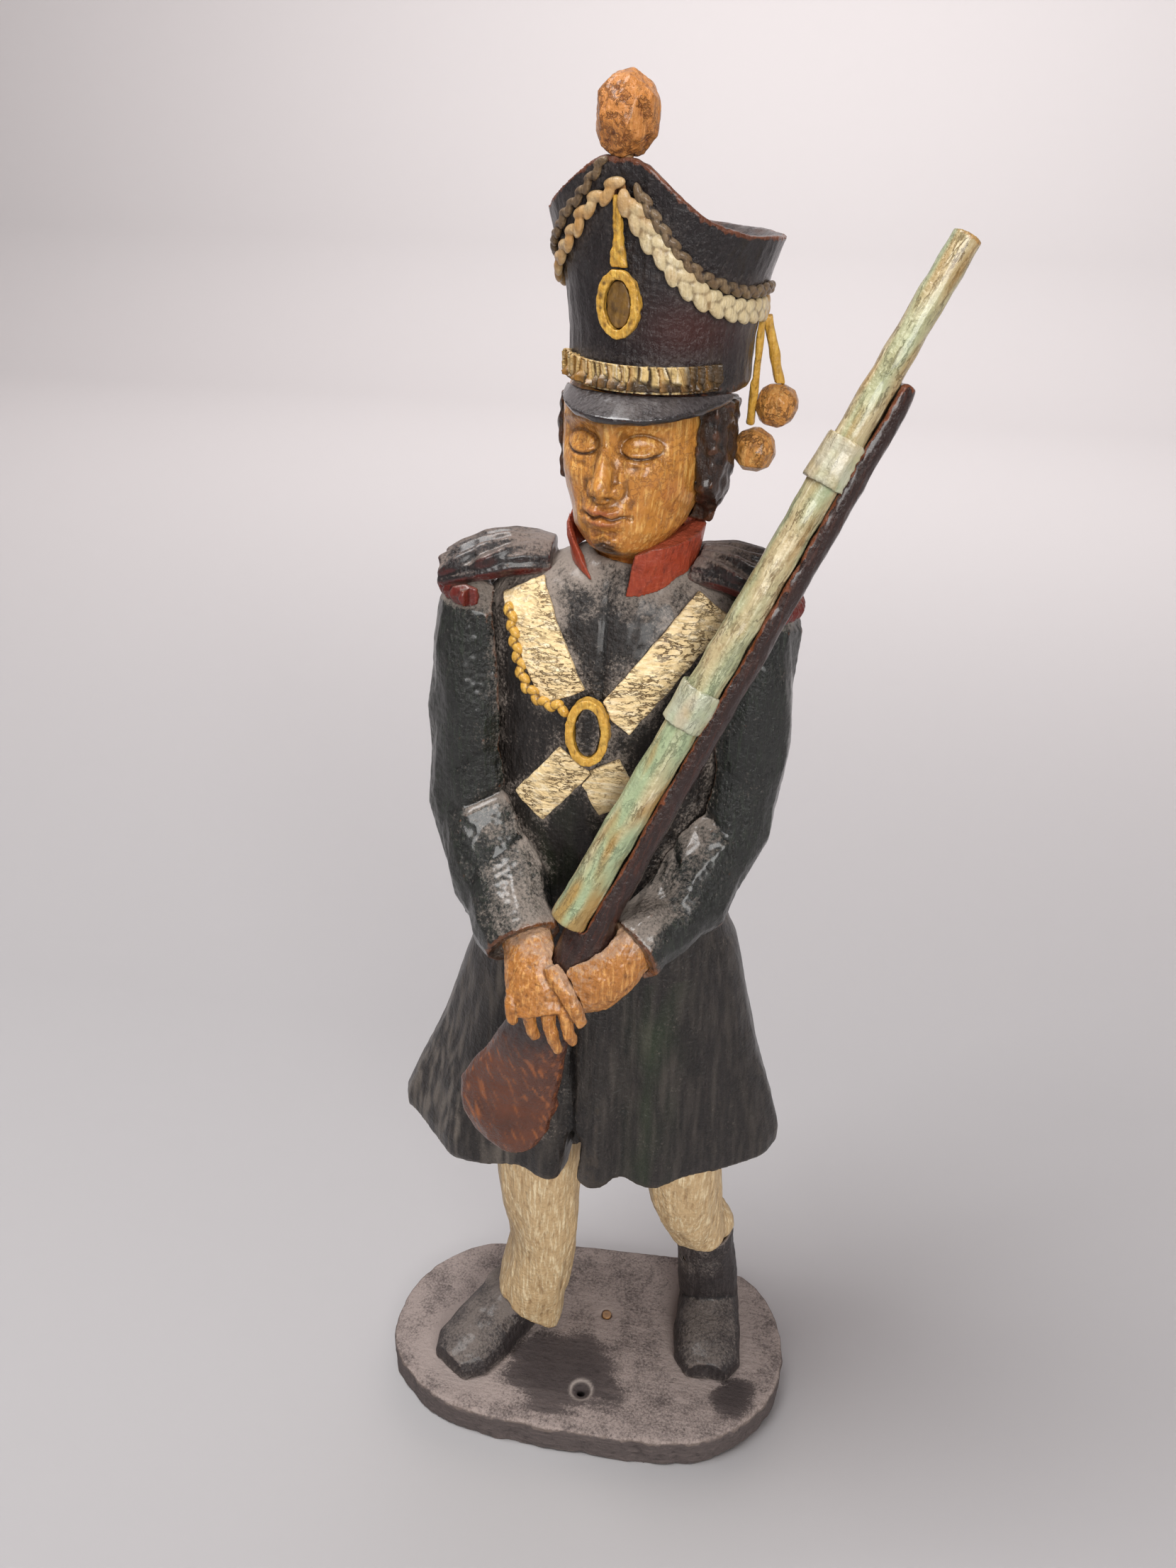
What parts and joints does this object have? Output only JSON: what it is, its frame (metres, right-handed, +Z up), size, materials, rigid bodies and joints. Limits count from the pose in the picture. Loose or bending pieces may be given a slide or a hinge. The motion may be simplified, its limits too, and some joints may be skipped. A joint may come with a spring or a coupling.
{
  "type": "carved wooden soldier figure",
  "caption": "Standing carved and painted wooden soldier in greatcoat and tall shako, holding a musket across the chest, fixed to an oval board.",
  "frame": {"origin": "centre of the board's underside", "axes": "+Z up; the soldier faces -Y; +X is the soldier's left"},
  "size_m": [0.1459, 0.0895, 0.4038],
  "materials": {
    "board_paint": "worn charcoal paint, dusty",
    "coat_paint": "dark green-black oil paint over carving marks, satin",
    "black_paint": "black oil paint, glossy on the facets",
    "cream_paint": "cream paint with brown grain showing",
    "ivory_paint": "crackled ivory paint with ochre glaze",
    "flesh_paint": "ochre flesh paint with a brown wash, satin",
    "hair_paint": "dark brown paint",
    "red_paint": "brick-red paint",
    "maroon_paint": "dark red paint",
    "gold_paint": "gold-ochre paint, semi-gloss",
    "braid_paint": "cream paint over carved plaiting",
    "strand_paint": "dark brown paint over a carved cord",
    "orange_paint": "orange-ochre paint with brown wash",
    "barrel_paint": "pale green-cream paint, streaked",
    "stock_paint": "dark brown stain, glossy",
    "bare_wood": "bare wood",
    "steel": "plain steel"
  },
  "bodies": {
    "root": {"arm_dowel_left": "bare_wood", "arm_dowel_right": "bare_wood", "base_board": "board_paint", "base_plug": "bare_wood", "belt_back_left": "ivory_paint", "belt_back_right_lower": "ivory_paint", "belt_back_right_upper": "ivory_paint", "belt_front_left_lower": "ivory_paint", "belt_front_left_upper": "ivory_paint", "belt_front_right_lower": "ivory_paint", "belt_front_right_upper": "ivory_paint", "belt_plate": "black_paint", "belt_plate_rim": "gold_paint", "boot_left": "black_paint", "boot_right": "black_paint", "cartridge_pouch": "black_paint", "chest_cord": "gold_paint", "coat": "coat_paint", "collar_left": "red_paint", "collar_right": "red_paint", "epaulette_left": "black_paint", "epaulette_right": "black_paint", "foot_screw_left": "steel", "foot_screw_right": "steel", "hair": "hair_paint", "hand_left": "flesh_paint", "hand_right": "flesh_paint", "head": "flesh_paint", "leg_left": "cream_paint", "leg_right": "cream_paint", "musket_band_middle": "barrel_paint", "musket_band_upper": "barrel_paint", "musket_barrel": "barrel_paint", "musket_pin": "steel", "musket_stock": "stock_paint", "pompom": "orange_paint", "pompom_peg": "bare_wood", "shako_braid_back": "braid_paint", "shako_braid_left": "braid_paint", "shako_braid_right": "braid_paint", "shako_cockade": "orange_paint", "shako_cockade_loop": "gold_paint", "shako_cockade_rim": "gold_paint", "shako_crown": "black_paint", "shako_scale_band": "gold_paint", "shako_strand_left": "strand_paint", "shako_strand_right": "strand_paint", "shako_visor": "black_paint", "shoulder_roll_left": "maroon_paint", "shoulder_roll_right": "maroon_paint", "sleeve_left": "coat_paint", "sleeve_right": "coat_paint", "tassel_ball_lower": "flesh_paint", "tassel_ball_upper": "flesh_paint", "tassel_cord_front": "orange_paint", "tassel_cord_rear": "orange_paint"}
  },
  "joints": []
}
